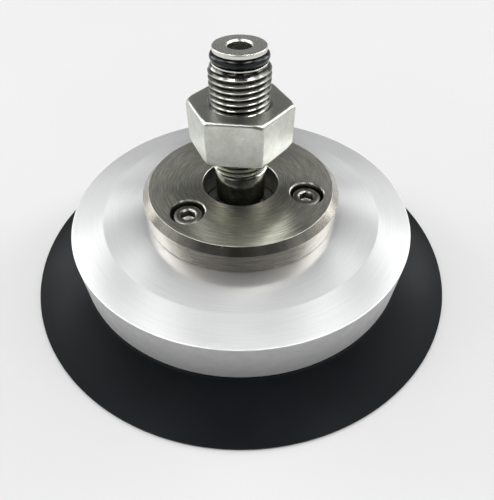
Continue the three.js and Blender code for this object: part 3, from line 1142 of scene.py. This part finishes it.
def woven_wire(built, index, across, height):
    """One wire of the mesh, which goes over and under those that it crosses."""
    offset = index * MESH_PITCH
    reach = math.sqrt(max(0.0, MESH_RADIUS**2 - offset**2))
    if reach < MESH_PITCH:
        return
    steps = max(4, int(2 * reach / MESH_PITCH) * 4)
    rings = []
    for step in range(steps + 1):
        along = -reach + 2 * reach * step / steps
        over = WIRE_RADIUS * math.cos(math.pi * (along / MESH_PITCH + index + (1 if across else 0)))
        ring = []
        for side in range(WIRE_SIDES):
            turn = TURN * side / WIRE_SIDES
            sideways = offset + WIRE_RADIUS * math.cos(turn)
            up = height + over + WIRE_RADIUS * math.sin(turn)
            point = (sideways, along, up) if across else (along, sideways, up)
            ring.append(built.verts.new(Vector(point) * MM))
        rings.append(ring)
    for first, second in zip(rings, rings[1:]):
        for side in range(WIRE_SIDES):
            after = (side + 1) % WIRE_SIDES
            built.faces.new((first[side], first[after], second[after], second[side]))
    built.faces.new(rings[0])
    built.faces.new(rings[-1])


def filter_screen():
    """Woven wire in a pressed rim."""
    rim = outer("filter_screen")
    rim_inner = rim - 0.8
    rim_half = 0.3
    height = middle("filter_screen")
    count = int(MESH_RADIUS / MESH_PITCH)
    built = bmesh.new()
    for across in (False, True):
        for index in range(-count, count + 1):
            woven_wire(built, index, across, height)
    bmesh.ops.recalc_face_normals(built, faces=built.faces)
    woven = smooth(from_bmesh("filter_screen_finished", built))
    profile = [
        (rim_inner, height - rim_half, 0.12),
        (rim, height - rim_half, 0.12),
        (rim, height + rim_half, 0.12),
        (rim_inner, height + rim_half, 0.12),
    ]
    edge = turned("filter_screen_rim", profile)
    edge.data.materials.append(SPRING_STEEL)
    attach(edge, BODY_OF["filter_screen"])
    placed(woven, "filter_screen", SPRING_STEEL)


holder_plate()
filter_screen()


# ---------------------------------------------------------------- floor, light and camera


def floor():
    built = bmesh.new()
    bmesh.ops.create_grid(built, x_segments=8, y_segments=8, size=3.0)
    sheet = from_bmesh("floor", built)
    material, tree, shader = started("pale_floor", Roughness=0.9, Specular_IOR_Level=0.1)
    grey = tinted(tree, patches(tree, 3), (0.64, 0.64, 0.64), (0.67, 0.67, 0.67))
    link(tree, grey, shader, "Base Color")
    sheet.data.materials.append(material)


LAMP_DISTANCE = 1.8

# Each pair's name, azimuth, elevation, size and watts.
LAMP_PAIRS = [
    ("side", 80, 45, 0.9, 9.6),
    ("low_side", 60, 20, 0.8, 8.0),
    ("high_side", 90, 72, 0.40, 7.0),
    ("back", 40, 48, 0.9, 2.4),
    ("front", 140, 62, 0.55, 2.6),
]


def softbox(name, azimuth, elevation, size, watts):
    """A square lamp that faces the cup. Azimuth is in degrees from +Y towards +X."""
    turn, rise = math.radians(azimuth), math.radians(elevation)
    towards = Vector((math.sin(turn) * math.cos(rise), math.cos(turn) * math.cos(rise), math.sin(rise)))
    data = bpy.data.lights.new(name, "AREA")
    data.shape = "SQUARE"
    data.size = size
    data.energy = watts
    light = bpy.data.objects.new(name, data)
    light.location = towards * LAMP_DISTANCE
    light.rotation_euler = towards.to_track_quat("Z", "Y").to_euler()
    bpy.context.scene.collection.objects.link(light)


def lamps():
    for name, azimuth, elevation, size, watts in LAMP_PAIRS:
        softbox(f"{name}_right", azimuth, elevation, size, watts)
        softbox(f"{name}_left", -azimuth, elevation, size, watts)
    softbox("top_back", 0, 70, 0.6, 0.4)


def world():
    """A room with pale walls and a dark ceiling, and a dark photographer behind the camera."""
    made = bpy.data.worlds.new("room")
    bpy.context.scene.world = made
    made.use_nodes = True
    tree = made.node_tree
    direction = add(tree, "ShaderNodeTexCoord").outputs["Generated"]
    parts = add(tree, "ShaderNodeSeparateXYZ", {0: direction})
    photographer, side_wall, back_wall = 0.12, 1.10, 0.34
    wall = ranged(tree, parts.outputs["Z"], 1.0, 0.0, 0.25, 0.65, "SMOOTHSTEP")
    sideways = add(tree, "ShaderNodeMath", {0: parts.outputs["X"]}, operation="ABSOLUTE").outputs[0]
    in_front = ranged(tree, sideways, photographer, side_wall, 0.0, 0.75, "SMOOTHSTEP")
    level = ranged(tree, parts.outputs["Y"], in_front, back_wall, -0.5, 0.5)
    light = combined(tree, "MULTIPLY", wall, level)
    tree.links.new(light, tree.nodes["Background"].inputs["Color"])


CAMERA_PLACE = (0, -0.0997, 0.1045)
CAMERA_DOWN = math.radians(46.67)
CAMERA_ROLL = math.radians(-0.4)


def camera():
    """Looks down at the cup from in front, close up with a short lens."""
    down, roll = CAMERA_DOWN, CAMERA_ROLL
    forward = Vector((0, math.cos(down), -math.sin(down)))
    up = Vector((0, math.sin(down), math.cos(down)))
    right = Vector((1, 0, 0))
    rolled_right = right * math.cos(roll) + up * math.sin(roll)
    rolled_up = up * math.cos(roll) - right * math.sin(roll)
    data = bpy.data.cameras.new("camera")
    data.sensor_width = 36
    data.lens = 28.8
    data.shift_x = 0.012
    data.clip_start = 0.005
    made = bpy.data.objects.new("camera", data)
    turn = Matrix((rolled_right, rolled_up, -forward)).transposed()
    made.matrix_world = Matrix.Translation(CAMERA_PLACE) @ turn.to_4x4()
    bpy.context.scene.collection.objects.link(made)
    bpy.context.scene.camera = made


floor()
world()
lamps()
camera()
bpy.context.scene.view_settings.view_transform = "Standard"
